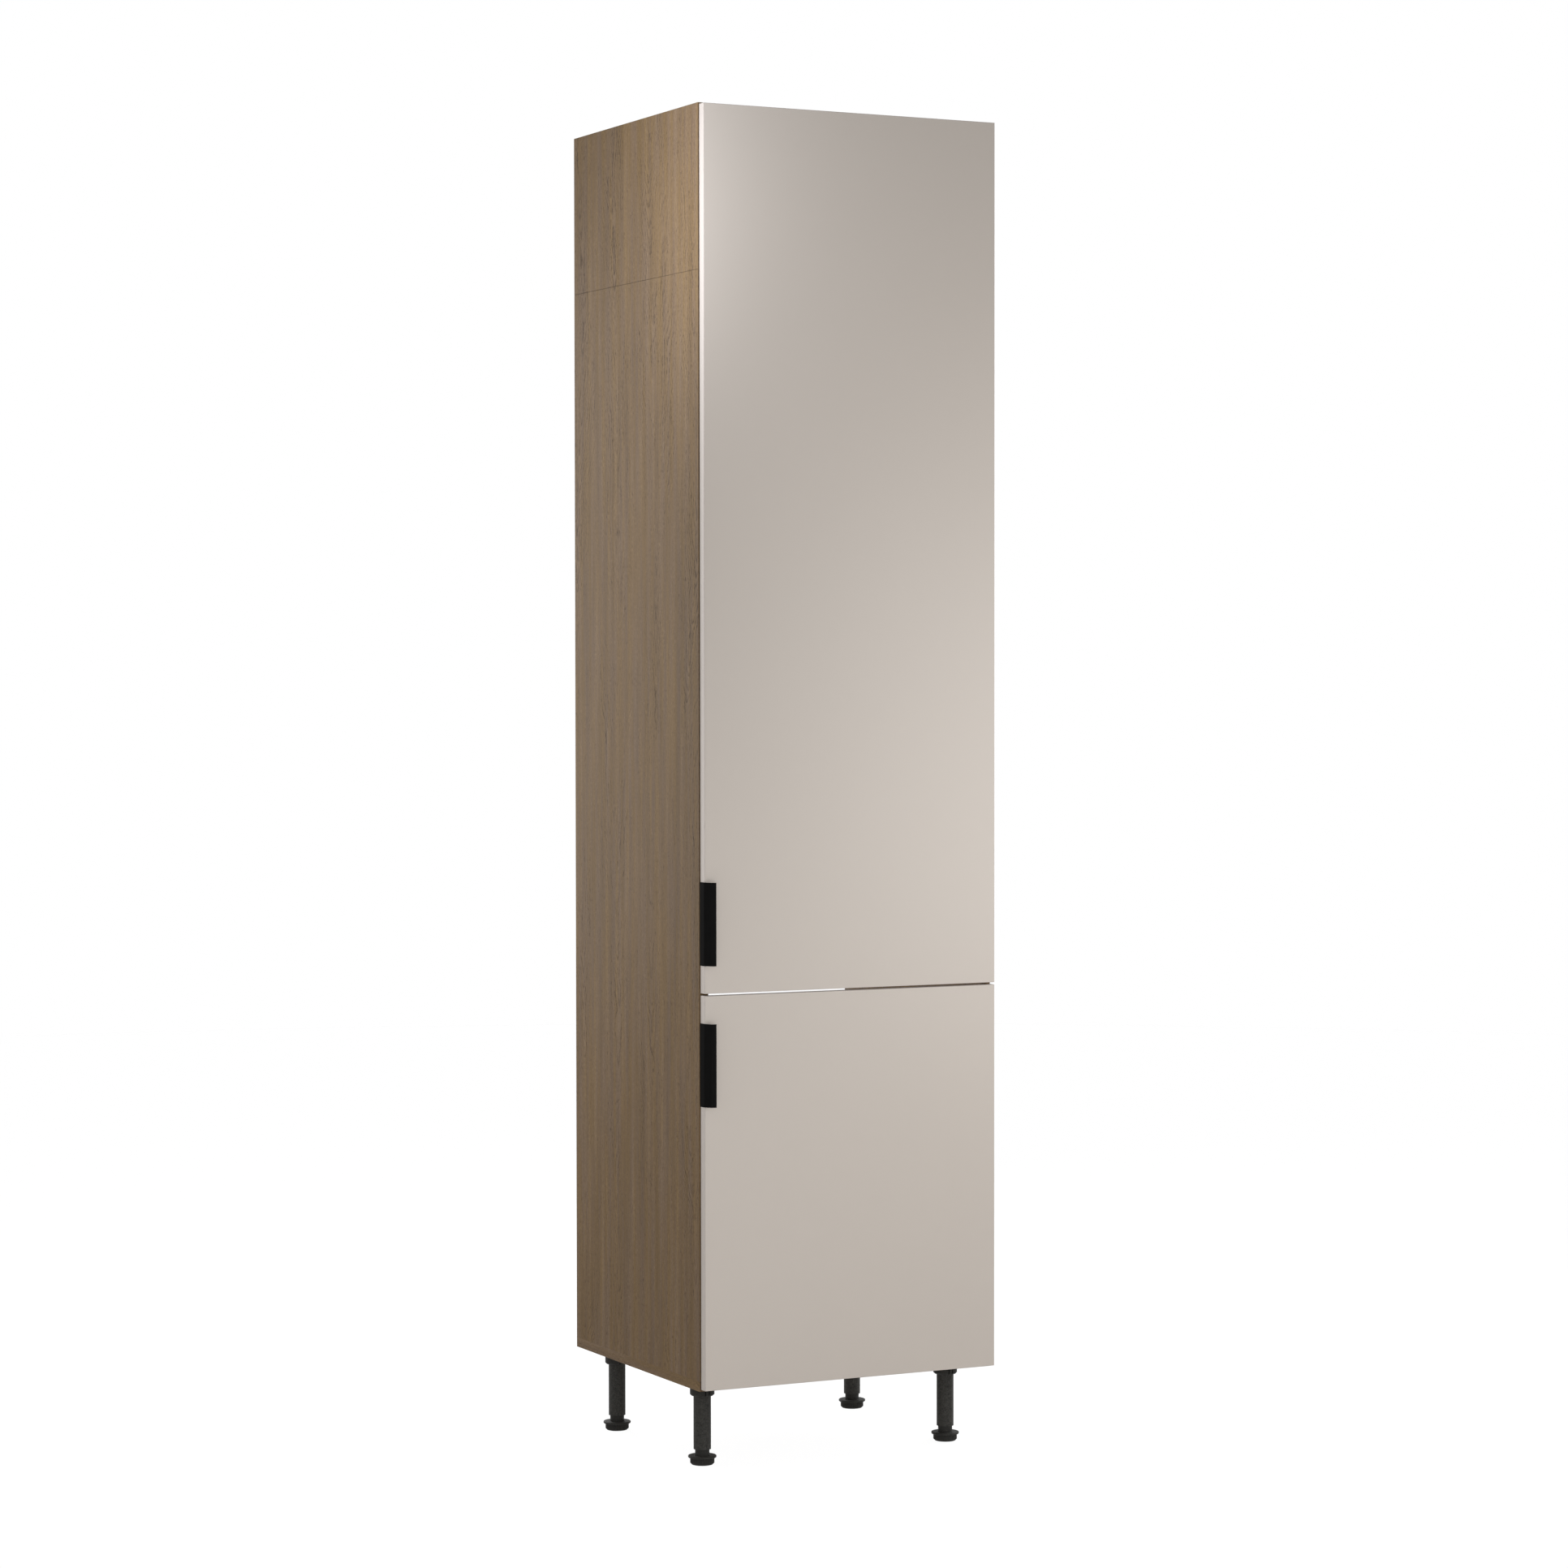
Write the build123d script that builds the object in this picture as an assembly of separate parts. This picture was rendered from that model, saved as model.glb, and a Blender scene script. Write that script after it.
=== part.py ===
from build123d import *
import math
import os

# Fridge housing cabinet: a tall carcase on plinth legs with two slab doors.
# Millimetres. +X is to the right seen from the front, +Y to the back, +Z up.
# The origin is on the floor, midway across the width and the overall depth.

# Carcase sizes
cabinet_width = 600.0
carcase_height = 2315.0
carcase_depth = 550.0
board = 18.0
band = 1.0
side_lower_height = 2000.0
side_joint_chamfer = 0.5
niche_height = 1780.0
vent_depth = 50.0
vent_width = 500.0
back_board = 8.0
groove_depth = 8.0
groove_play = 0.2
rail_height = 100.0
wall_hole_radius = 4.0
wall_hole_inset = 80.0

# Adjustable shelf and its rows of pin holes
row_inset = 37.0
row_pitch = 32.0
row_holes = 6
shelf_row = 2
shelf_front_inset = 20.0
shelf_play = 1.5
pin_radius = 2.5
pin_depth = 9.0
blind_end = 1.0
pin_reach = 8.0
pin_collar_radius = 4.0
pin_collar = 1.2

# Doors
door_thickness = 18.0
door_gap = 2.0
door_side_margin = 1.5
door_bottom_margin = 4.0
door_top_margin = 3.0
lower_door_height = 712.0
split_gap = 4.0
door_edge_radius = 0.8
bumper_radius = 4.0
bumper_height = 1.5
bumper_round = 0.9
bumper_inset = 60.0

# Edge pulls
handle_length = 150.0
handle_from_split = 50.0
handle_wall = 1.4
handle_reach = 16.5
handle_projection = 14.5
handle_shoulder_across = 7.6
handle_shoulder_forward = 12.2
handle_flange = 30.0
handle_seat = 2.1
handle_seat_step = 0.3
handle_play = 0.1
handle_screw_from_edge = 21.0
handle_screw_pitch = 50.0

# Legs
leg_height = 150.0
leg_inset_side = 46.5
leg_inset_front = 88.0
leg_inset_back = 84.0
collar_radius = 22.5
collar_height = 23.5
collar_chamfer = 2.5
clip_slot_offset = 3.8
clip_slot_width = 2.2
clip_slot_depth = 3.4
barrel_radius = 16.0
barrel_in_collar = 15.0
barrel_roof = 3.0
stem_radius = 13.3
stem_showing = 11.7
stem_engaged = 60.0
rim_radius = 26.0
rim_height = 4.0
rim_round = 1.3
knob_radius = 22.25
knob_height = 12.5
knob_chamfer = 3.0
knob_rib_count = 48
knob_groove_radius = 0.75
spigot_radius = 10.0
spigot_height = 12.0
leg_play = 0.1

# Concealed hinges, in plan. Inward is measured from the side's inner face, behind from the
# carcase's front, from_edge from the door's hinge edge and deep from the door's back.
hinge_end_inset = 100.0
upper_hinge_gaps = 3
outer_pivot_inward = 17.1
outer_pivot_behind = 19.5
inner_pivot_inward = 27.5
inner_pivot_behind = 3.05
cup_outer_pin_from_edge = 9.8
cup_outer_pin_deep = 1.35
cup_inner_pin_from_edge = 15.0
cup_inner_pin_deep = 4.3
inner_eye_from_edge = 14.9
inner_eye_deep = 5.6
outer_link_bow = -7.6
inner_link_bow = -0.6
hinge_pin_radius = 1.0
hinge_play = 0.05
link_width = 2.8
link_eye_radius = 2.5
loose_eye_radius = 3.6
loose_hole_radius = 2.4
cup_bore_radius = 17.5
cup_from_edge = 22.5
cup_depth = 11.5
cup_bore_play = 0.5
cup_wall = 1.0
cup_flange = 1.2
cup_flange_radius = 19.0
cup_relief = 1.0
cup_relief_half = 6.0
cup_relief_depth = 0.5
cup_ear_length = 62.0
cup_ear_width = 12.0
cup_ear_offset = 6.0
cup_screw_spacing = 48.0
arm_half_gap = 6.0
arm_wall = 1.2
arm_nose_radius = 4.0
arm_tail_from = 44.0
arm_tail_behind = 84.0
arm_top = 14.0
arm_bottom = 7.0
arm_mouth = 6.0
arm_screw_behind = (72.0, 54.0)
arm_pin_head = 0.6
outer_link_from = 4.2
outer_link_to = 5.7
inner_link_half = 3.4
plate_wing = 2.0
plate_wing_length = 52.0
plate_wing_width = 16.0
plate_core_half = 5.6
plate_core_height = 12.5
plate_core_from = 30.0
plate_core_to = 80.0
arm_screw_length = 8.75

# Knock-down fittings
cam_radius = 7.5
cam_height = 13.5
cam_from_end = 24.0
cam_play = 0.1
bolt_radius = 3.0
bolt_head_radius = 3.5
bolt_bore_radius = 4.0
bolt_in_side = 11.0
dowel_radius = 4.0
dowel_in_side = 10.0
dowel_in_panel = 20.0
dowel_play = 0.05
dowel_offset = 32.0
fitting_front_inset = 60.0
fitting_back_inset = 95.0
seam_dowel_half = 20.0
seam_dowel_front = 80.0
seam_dowel_back = 140.0
seam_plate_width = 20.0
seam_plate_half = 38.0
seam_plate_thickness = 2.0
seam_plate_from_dowel = 38.0
seam_screws = (28.0, 12.5)

# Screws
board_screw_radius = 1.75
board_screw_length = 13.0
board_screw_head = 3.4
board_screw_head_height = 1.6
thin_screw_head_height = 0.6
thin_screw_slot = 0.8

# Places worked out from the sizes above
side_x = cabinet_width / 2
inner_x = side_x - board
carcase_bottom = leg_height
carcase_top = carcase_bottom + carcase_height
front_y = (handle_projection + door_thickness + door_gap - carcase_depth) / 2
back_y = front_y + carcase_depth
door_back_y = front_y - door_gap
door_front_y = door_back_y - door_thickness
door_x = side_x - door_side_margin
niche_floor = carcase_bottom + board
seam_z = niche_floor + side_lower_height
niche_roof = niche_floor + niche_height
shelf_top = niche_roof + board
roof_under = carcase_top - board
back_panel_rear = back_y - vent_depth
back_panel_front = back_panel_rear - back_board
lower_door_bottom = carcase_bottom + door_bottom_margin
lower_door_top = lower_door_bottom + lower_door_height
upper_door_bottom = lower_door_top + split_gap
upper_door_top = carcase_top - door_top_margin
pin_front_y = front_y + row_inset
pin_back_y = back_panel_front - row_inset
row_middle = (shelf_top + roof_under) / 2
pin_heights = [row_middle + row_pitch * (step - (row_holes - 1) / 2) for step in range(row_holes)]
shelf_pin_z = pin_heights[shelf_row]
shelf_under = shelf_pin_z + pin_radius
cup_x = door_x - cup_from_edge

SPIN = {"X": (0, 90, 0), "Y": (90, 0, 0), "Z": (0, 0, 0)}
INTO = {"+X": (0, -90, 0), "-X": (0, 90, 0), "+Y": (90, 0, 0), "-Y": (-90, 0, 0), "+Z": (180, 0, 0)}


def block(x, y, z):
    """A box between two values on each axis."""
    spans = (x, y, z)
    middle = [(low + high) / 2 for low, high in spans]
    size = [abs(high - low) for low, high in spans]
    return Pos(*middle) * Box(*size)


def rod(start, axis, length, radius):
    """A round bar from start, running a signed length along one axis."""
    middle = list(start)
    middle["XYZ".index(axis)] += length / 2
    return Pos(*middle) * Rot(*SPIN[axis]) * Cylinder(radius, abs(length))


def save(name, *solids):
    """Write one node, which may hold several separate solids."""
    found = [solid for shape in solids for solid in shape.solids()]
    shape = found[0] if len(found) == 1 else Compound(found)
    export_step(shape, f"parts/{name}.step")


def screw(at, into, length, sunk=0.0):
    """A cross-recess screw. The point is under its round head, or on its flush top if it is sunk."""
    head = board_screw_head
    rise = sunk or board_screw_head_height
    if sunk:
        body = Pos(0, 0, -rise / 2) * Cone(board_screw_radius, head, rise)
        top = 0
    else:
        body = Pos(0, 0, rise / 2) * Cylinder(head, rise)
        body = fillet(body.edges().group_by(Axis.Z)[-1], rise / 2)
        top = rise
    body += Pos(0, 0, -length / 2) * Cylinder(board_screw_radius, length)
    body += Pos(0, 0, -length) * Cone(0.1, board_screw_radius, board_screw_radius * 2)
    arm = head * 1.1
    slot = head / 4
    for size in ((arm, slot, rise), (slot, arm, rise)):
        body -= Pos(0, 0, top) * Box(*size)
    return Pos(*at) * Rot(*INTO[into]) * body


def screw_hole(at, into, length):
    """The pilot hole that a screw of the same length fills."""
    pilot = board_screw_radius * 2
    hole = Pos(0, 0, -(length + pilot) / 2) * Cylinder(board_screw_radius, length + pilot)
    return Pos(*at) * Rot(*INTO[into]) * hole


# Fittings between a side and the board that ends on it

cam_discs = []
cam_bolts = []
corner_dowels = []
side_cuts = {-1: [], 1: []}


def moved(point, axis, distance):
    """The point, moved along one axis."""
    place = list(point)
    place["XYZ".index(axis)] += distance
    return tuple(place)


def cam_fitting(joint, axis, way, face_axis, face_way):
    """A cam in one board and its bolt in the other. Returns what each of the two boards loses.

    The joint is the bolt's point on the face where the boards meet, and the board with the cam lies
    that way along the axis. The cam opens on that board's face, along the face axis.
    """
    centre = moved(joint, axis, way * cam_from_end)
    mouth = moved(centre, face_axis, face_way * board / 2)
    pocket = rod(mouth, face_axis, -face_way * (cam_height + cam_play), cam_radius)
    disc = rod(mouth, face_axis, -face_way * cam_height, cam_radius - cam_play)
    disc -= rod(centre, axis, -way * cam_radius, bolt_head_radius + cam_play)
    disc -= Pos(*mouth) * Rot(*SPIN[face_axis]) * Box(cam_radius, board_screw_radius, board_screw_head_height)
    cam_discs.append(disc)
    to_cam = cam_from_end - cam_radius / 2
    bolt = rod(joint, axis, way * to_cam, bolt_radius - cam_play)
    bolt += rod(joint, axis, -way * bolt_in_side, bolt_radius - cam_play)
    bolt += rod(moved(joint, axis, way * to_cam), axis, way * bolt_radius, bolt_head_radius)
    cam_bolts.append(bolt)
    bore = rod(joint, axis, way * cam_from_end, bolt_bore_radius)
    return [pocket, bore], [rod(joint, axis, -way * (bolt_in_side + cam_play), bolt_radius)]


def dowel_fitting(joint, axis, way):
    """One dowel beside a cam. Returns what each of the two boards loses."""
    dowel = rod(moved(joint, axis, -way * dowel_in_side), axis, way * (dowel_in_side + dowel_in_panel), dowel_radius)
    corner_dowels.append(chamfer(dowel.edges().filter_by(GeomType.CIRCLE), dowel_radius / 4))
    bore = dowel_radius + dowel_play
    deep = rod(joint, axis, way * (dowel_in_panel + blind_end), bore)
    return [deep], [rod(joint, axis, -way * (dowel_in_side + blind_end), bore)]


def corner_ys(front_inset, back_inset):
    """Where each cam sits between front and back, and the dowel beside it."""
    for y, step in ((front_y + front_inset, 1), (back_y - back_inset, -1)):
        yield y, y + step * dowel_offset


def level_board_cuts(z, opening, back_inset):
    """The four corners of a board that ends on the sides. Returns what the board loses."""
    cuts = []
    for side in (-1, 1):
        for cam_y, dowel_y in corner_ys(fitting_front_inset, back_inset):
            fittings = (
                cam_fitting((side * inner_x, cam_y, z), "X", -side, "Z", opening),
                dowel_fitting((side * inner_x, dowel_y, z), "X", -side),
            )
            for in_board, in_side in fittings:
                cuts += in_board
                side_cuts[side] += in_side
    return cuts


def base_cuts():
    """The four corners of the bottom panel, which the sides stand on. Returns what it loses."""
    cuts = []
    for side in (-1, 1):
        x = side * (side_x - board / 2)
        for cam_y, dowel_y in corner_ys(fitting_front_inset, fitting_back_inset):
            fittings = (
                cam_fitting((x, cam_y, niche_floor), "Z", 1, "X", -side),
                dowel_fitting((x, dowel_y, niche_floor), "Z", 1),
            )
            for in_side, in_board in fittings:
                side_cuts[side] += in_side
                cuts += in_board
    return cuts


# Concealed hinge, in plan

outer_pivot = (inner_x - outer_pivot_inward, front_y + outer_pivot_behind)
inner_pivot = (inner_x - inner_pivot_inward, front_y + inner_pivot_behind)
cup_outer_pin = (door_x - cup_outer_pin_from_edge, door_back_y - cup_outer_pin_deep)
cup_inner_pin = (door_x - cup_inner_pin_from_edge, door_back_y - cup_inner_pin_deep)
inner_eye = (door_x - inner_eye_from_edge, door_back_y - inner_eye_deep)


def disc(centre, radius):
    return Pos(*centre) * Circle(radius)


def link_outline(start, end, bow, end_eye, end_hole):
    """A bowed strip with an eye at each end."""
    across = Vector(end[0] - start[0], end[1] - start[1])
    unit = across.normalized()
    middle = Vector(*start) + across / 2 + Vector(-unit.Y, unit.X) * bow
    strip = trace(ThreePointArc(start, middle, end), link_width)
    plate = strip + disc(start, link_eye_radius) + disc(end, end_eye)
    return plate - disc(start, hinge_pin_radius + hinge_play) - disc(end, end_hole)


def layer(outline, low, high):
    """A flat outline extruded between two heights."""
    return Pos(0, 0, low) * extrude(outline, high - low)


def outer_link():
    tight = hinge_pin_radius + hinge_play
    outline = link_outline(outer_pivot, cup_outer_pin, outer_link_bow, link_eye_radius, tight)
    return [layer(outline, outer_link_from, outer_link_to), layer(outline, -outer_link_to, -outer_link_from)]


def inner_link():
    outline = link_outline(inner_pivot, inner_eye, inner_link_bow, loose_eye_radius, loose_hole_radius)
    return [layer(outline, -inner_link_half, inner_link_half)]


def riveted_pin(centre, half):
    """A pin along Z with a flat head at each end."""
    pin = rod((*centre, -half), "Z", 2 * half, hinge_pin_radius)
    for end in (-1, 1):
        pin += rod((*centre, end * half), "Z", end * arm_pin_head, hinge_pin_radius + arm_pin_head)
    return pin


arm_half = arm_half_gap + arm_wall


def hinge_arm():
    """A folded channel: two walls with the pivots at the nose, closed on top behind them."""
    tail_x = (inner_x - arm_top, inner_x - arm_bottom)
    tail_y = (front_y + arm_tail_from, front_y + arm_tail_behind)
    tail = Pos(sum(tail_x) / 2, sum(tail_y) / 2) * Rectangle(tail_x[1] - tail_x[0], tail_y[1] - tail_y[0])
    heel = disc(outer_pivot, arm_nose_radius)
    nose = disc(inner_pivot, arm_nose_radius)
    neck_y = tail_y[0] + arm_wall
    neck = Pos(sum(tail_x) / 2, neck_y) * Rectangle(tail_x[1] - tail_x[0], 2 * arm_wall)
    outline = make_hull(heel.edges() + nose.edges()) + make_hull(heel.edges() + neck.edges()) + tail
    arm = layer(outline, -arm_half, arm_half)
    arm -= Pos(arm_wall, 0, 0) * layer(outline, -arm_half_gap, arm_half_gap)
    open_to = outer_pivot[1] + arm_mouth
    nose_x = (inner_pivot[0] - 2 * arm_nose_radius, inner_x)
    arm -= block(nose_x, (front_y - board, open_to), (-arm_half_gap, arm_half_gap))
    for pivot in (outer_pivot, inner_pivot):
        arm -= rod((*pivot, -board), "Z", 2 * board, hinge_pin_radius)
    for behind in arm_screw_behind:
        arm -= rod((inner_x - 2 * arm_top, front_y + behind, 0), "X", 2 * arm_top, board_screw_radius)
    return arm


def hinge_plate():
    """A cross-shaped plate: a wing screwed to the side and a core under the arm."""
    wing_y = front_y + row_inset
    wing = extrude(Plane.YZ * SlotOverall(plate_wing_length, plate_wing_width, rotation=90), -plate_wing)
    wing = Pos(inner_x, wing_y, 0) * wing
    core_y = (front_y + plate_core_from, front_y + plate_core_to)
    core = block((inner_x - plate_core_height, inner_x), core_y, (-plate_core_half, plate_core_half))
    core = chamfer(core.edges().filter_by(Axis.Y).group_by(Axis.X)[0], arm_wall)
    plate = wing + core
    for z in (-row_pitch / 2, row_pitch / 2):
        plate -= rod((inner_x - board, wing_y, z), "X", 2 * board, board_screw_radius)
    for behind in arm_screw_behind:
        plate -= screw_hole((inner_x - arm_top, front_y + behind, 0), "+X", arm_screw_length)
    return plate


def hinge_cup():
    """A cup in the door's back, with a flange, two screw ears and four pin bores."""
    outer = rod((cup_x, door_back_y, 0), "Y", -cup_depth, cup_bore_radius - leg_play)
    ear = Plane.XZ * SlotOverall(cup_ear_length, cup_ear_width, rotation=90)
    ear = Pos(cup_x - cup_ear_offset, door_back_y, 0) * extrude(ear, -cup_flange)
    rim = rod((cup_x, door_back_y, 0), "Y", cup_flange, cup_flange_radius)
    flange = ear + rim
    cup = outer + flange
    hollow = cup_bore_radius - leg_play - cup_wall
    cup -= rod((cup_x, door_back_y + cup_flange, 0), "Y", -(cup_depth + cup_flange - cup_wall), hollow)
    relief_x = (cup_x, cup_x + hollow + cup_relief)
    relief_y = (door_back_y - cup_relief_depth, door_back_y + 2 * cup_flange)
    cup -= block(relief_x, relief_y, (-cup_relief_half, cup_relief_half))
    for pin in (cup_outer_pin, cup_inner_pin):
        cup -= rod((*pin, -cup_bore_radius), "Z", 2 * cup_bore_radius, hinge_pin_radius)
    for z in (-cup_screw_spacing / 2, cup_screw_spacing / 2):
        cup -= rod((cup_x - cup_ear_offset, door_back_y - cup_flange, z), "Y", 3 * cup_flange, board_screw_radius)
    return cup


def cup_pin(centre):
    """A plain pin whose ends stop just inside the cup's round wall."""
    half = math.sqrt((cup_bore_radius - leg_play) ** 2 - (centre[0] - cup_x + hinge_pin_radius) ** 2) - leg_play
    return rod((*centre, -half), "Z", 2 * half, hinge_pin_radius)


arm_shape = hinge_arm()
plate_shape = hinge_plate()
cup_shape = hinge_cup()
outer_link_shape = outer_link()
inner_link_shape = inner_link()


def hinge_heights(bottom, top, gaps):
    first = bottom + hinge_end_inset
    step = (top - bottom - 2 * hinge_end_inset) / gaps
    return [first + step * index for index in range(gaps + 1)]


def hinge_nodes(door, heights):
    """Write the hinges of one door, and return what the side and the door lose."""
    place = [Pos(0, 0, z) for z in heights]
    save(f"{door}_hinge_plates", *[at * plate_shape for at in place])
    save(f"{door}_hinge_arms", *[at * arm_shape for at in place])
    save(f"{door}_outer_links", *[at * link for at in place for link in outer_link_shape])
    save(f"{door}_inner_links", *[at * link for at in place for link in inner_link_shape])
    save(f"{door}_hinge_cups", *[at * cup_shape for at in place])
    save(f"{door}_cup_pins", *[at * cup_pin(pin) for at in place for pin in (cup_outer_pin, cup_inner_pin)])
    cup_screws = []
    door_cuts = []
    for z in heights:
        bore_start = (cup_x, door_back_y + cup_flange, z)
        door_cuts.append(rod(bore_start, "Y", -cup_flange - cup_depth - cup_bore_play, cup_bore_radius))
        for step in (-cup_screw_spacing / 2, cup_screw_spacing / 2):
            at = (cup_x - cup_ear_offset, door_back_y + cup_flange, z + step)
            cup_screws.append(flat_screw(at, "-Y"))
            door_cuts.append(screw_hole((at[0], door_back_y, at[2]), "-Y", board_screw_length - cup_flange))
        for step in (-row_pitch / 2, row_pitch / 2):
            at = (inner_x - plate_wing, front_y + row_inset, z + step)
            plate_screws.append(screw(at, "+X", board_screw_length))
            side_cuts[1].append(screw_hole((inner_x, at[1], at[2]), "+X", board_screw_length - plate_wing))
        for behind in arm_screw_behind:
            arm_screws.append(screw((inner_x - arm_top, front_y + behind, z), "+X", arm_screw_length))
        for pivot in (outer_pivot, inner_pivot):
            arm_pins.append(Pos(0, 0, z) * riveted_pin(pivot, arm_half))
    save(f"{door}_cup_screws", *cup_screws)
    return door_cuts


def flat_screw(at, into):
    """A thin-headed screw for the narrow space behind the door."""
    rise = thin_screw_head_height
    body = Pos(0, 0, rise / 2) * Cylinder(board_screw_head, rise)
    body = chamfer(body.edges().group_by(Axis.Z)[-1], rise / 2)
    body += Pos(0, 0, -board_screw_length / 2) * Cylinder(board_screw_radius, board_screw_length)
    for size in ((board_screw_head, thin_screw_slot, rise), (thin_screw_slot, board_screw_head, rise)):
        body -= Pos(0, 0, rise) * Box(*size)
    return Pos(*at) * Rot(*INTO[into]) * body


plate_screws = []
arm_screws = []
arm_pins = []


# Doors

def handle(split_end, direction):
    """The edge pull at one door's left edge, its screws and what the door loses."""
    low = split_end + (handle_from_split if direction > 0 else -handle_from_split - handle_length)
    high = low + handle_length
    edge = -door_x
    half = handle_wall / 2
    path = FilletPolyline(
        (edge + handle_flange, door_back_y - half),
        (edge - half, door_back_y - half),
        (edge - half, door_front_y),
        (edge + handle_shoulder_across, door_front_y - handle_shoulder_forward),
        (edge + handle_reach, door_front_y - handle_projection + half),
        radius=[handle_wall, handle_wall * 1.5, handle_wall * 2],
    )
    pull = layer(trace(path, handle_wall), low, high)
    seat_y = (door_front_y + handle_seat_step, door_back_y - handle_wall)
    pull += block((edge, edge + handle_seat - handle_play), seat_y, (low, high))
    screws = []
    span_z = (low - handle_play, high + handle_play)
    flange_y = (door_back_y - handle_wall, door_back_y + handle_wall)
    seat_cut_y = (door_front_y - handle_wall, door_back_y)
    door_cuts = [
        block((edge - handle_wall, edge + handle_flange + handle_play), flange_y, span_z),
        block((edge - handle_wall, edge + handle_seat), seat_cut_y, span_z),
    ]
    for step in (-handle_screw_pitch, 0, handle_screw_pitch):
        at = (edge + handle_screw_from_edge, door_back_y, (low + high) / 2 + step)
        pull -= Pos(*at) * Rot(*INTO["-Y"]) * Pos(0, 0, -half) * Cone(board_screw_radius, board_screw_head, handle_wall)
        screws.append(screw(at, "-Y", board_screw_length, sunk=handle_wall))
        door_cuts.append(screw_hole(at, "-Y", board_screw_length))
    return pull, screws, door_cuts


def door_nodes(name, bottom, top, heights, split_end, direction):
    """One slab door with its edge bands, hinges, pull and bumpers."""
    outer = block((-door_x, door_x), (door_front_y, door_back_y), (bottom, top))
    inner_span = (-door_x + band, door_x - band)
    core = block(inner_span, (door_front_y, door_back_y), (bottom + band, top - band))
    edging = fillet(outer.edges(), door_edge_radius) - core
    pull, screws, handle_cuts = handle(split_end, direction)
    cuts = hinge_nodes(name, heights) + handle_cuts
    save(f"{name}_door", core - cuts)
    save(f"{name}_door_edging", edging - handle_cuts)
    save(f"{name}_handle", pull)
    save(f"{name}_handle_screws", *screws)
    bumper = Pos(0, bumper_height / 2, 0) * Rot(*SPIN["Y"]) * Cylinder(bumper_radius, bumper_height)
    bumper = fillet(bumper.edges().group_by(Axis.Y)[-1], bumper_round)
    bumper_x = -side_x + board / 2
    ends = (bottom + bumper_inset, (bottom + top) / 2, top - bumper_inset)
    save(f"{name}_door_bumpers", *[Pos(bumper_x, door_back_y, z) * bumper for z in ends])


# Legs

def leg_places():
    x = side_x - leg_inset_side
    for row, y in (("front", front_y + leg_inset_front), ("back", back_y - leg_inset_back)):
        yield f"{row}_left", -x, y
        yield f"{row}_right", x, y


def leg_shapes():
    collar_bottom = leg_height - collar_height
    barrel_top = collar_bottom + barrel_in_collar
    knob_top = knob_height
    rim_top = knob_top + rim_height
    barrel_bottom = rim_top + stem_showing
    bore = stem_radius + leg_play

    socket = rod((0, 0, collar_bottom), "Z", collar_height, collar_radius)
    socket = chamfer(socket.edges().group_by(Axis.Z)[0], collar_chamfer)
    socket += rod((0, 0, leg_height), "Z", spigot_height, spigot_radius)
    socket -= rod((0, 0, collar_bottom), "Z", barrel_in_collar + leg_play, barrel_radius + leg_play)
    for x in (-clip_slot_offset, clip_slot_offset):
        slot_x = (x - clip_slot_width / 2, x + clip_slot_width / 2)
        slot_y = (-collar_radius - 1, -collar_radius + clip_slot_depth)
        socket -= block(slot_x, slot_y, (collar_bottom - 1, leg_height - clip_slot_depth))

    barrel = rod((0, 0, barrel_bottom), "Z", barrel_top - barrel_bottom, barrel_radius)
    barrel -= rod((0, 0, barrel_bottom), "Z", barrel_top - barrel_roof - barrel_bottom, bore)

    knob = rod((0, 0, 0), "Z", knob_height, knob_radius)
    knob = chamfer(knob.edges().group_by(Axis.Z)[0], knob_chamfer)
    for index in range(knob_rib_count):
        turn = 2 * math.pi * index / knob_rib_count
        groove = (knob_radius * math.cos(turn), knob_radius * math.sin(turn), -1)
        knob -= rod(groove, "Z", knob_height + 1, knob_groove_radius)
    rim = rod((0, 0, knob_top), "Z", rim_height, rim_radius)
    rim = fillet(rim.edges(), rim_round)
    foot = knob + rim + rod((0, 0, rim_top), "Z", stem_showing + stem_engaged, stem_radius)
    return socket, barrel, foot


def leg_nodes():
    """Write the legs, and return the blind holes of the bottom panel."""
    socket, barrel, foot = leg_shapes()
    holes = []
    for name, x, y in leg_places():
        place = Pos(x, y, 0)
        save(f"leg_socket_{name}", place * socket)
        save(f"leg_barrel_{name}", place * barrel)
        save(f"foot_{name}", place * foot)
        holes.append(rod((x, y, leg_height), "Z", spigot_height + leg_play, spigot_radius + leg_play))
    return holes


# Carcase

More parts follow.
